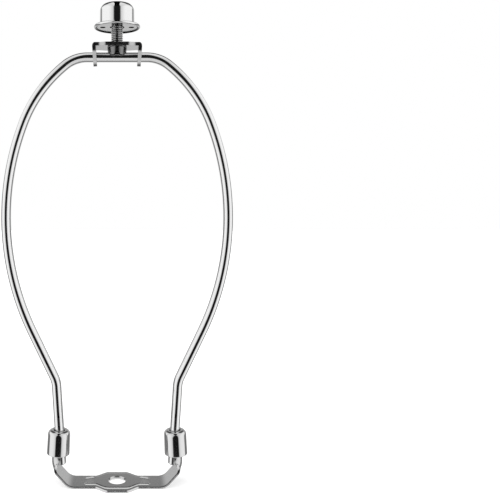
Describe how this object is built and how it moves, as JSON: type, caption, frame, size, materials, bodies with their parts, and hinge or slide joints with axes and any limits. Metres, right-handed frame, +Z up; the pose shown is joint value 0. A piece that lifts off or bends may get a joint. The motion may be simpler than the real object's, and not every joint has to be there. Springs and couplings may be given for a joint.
{
  "type": "lamp harp",
  "caption": "Round-wire lamp harp on a stamped saddle with two sliding lock sleeves, and a swivel top strap with a screw-on finial.",
  "frame": {"origin": "centre of the saddle's hole, on the underside of the raised panel, where the saddle rests on the socket cap", "axes": "+Z up towards the finial, X along the saddle and the wire's top run, Y across the bow's plane"},
  "size_m": [0.1204, 0.024, 0.2516],
  "materials": {
    "bright_nickel": "polished and nickel plated",
    "satin_nickel": "stamped sheet, dull nickel plate",
    "strip_nickel": "folded strip, nickel plate",
    "thread_steel": "rolled thread, nickel plate",
    "bush_steel": "turned, plain"
  },
  "bodies": {
    "frame": {"saddle": "satin_nickel", "harp_wire": "bright_nickel"},
    "sleeve_left": {"sleeve_left": "bright_nickel"},
    "sleeve_right": {"sleeve_right": "bright_nickel"},
    "swivel": {"top_strap": "strip_nickel", "stud": "thread_steel"},
    "finial": {"finial_cap": "bright_nickel", "finial_base": "satin_nickel", "finial_bush": "bush_steel"}
  },
  "joints": [
    {"name": "sleeve_left_slide", "type": "slide", "parent": "frame", "child": "sleeve_left", "axis": [-0.0628, 0, 0.998], "range_m": [0, 0.02]},
    {"name": "sleeve_right_slide", "type": "slide", "parent": "frame", "child": "sleeve_right", "axis": [0.0628, 0, 0.998], "range_m": [0, 0.02]},
    {"name": "top_swivel", "type": "hinge", "parent": "frame", "child": "swivel", "pos_m": [0, 0, 0.2219], "axis": [1, 0, 0], "continuous": true},
    {"name": "finial_screw", "type": "slide", "parent": "swivel", "child": "finial", "axis": [0, 0, 1], "range_m": [-0.007, 0.005]}
  ]
}
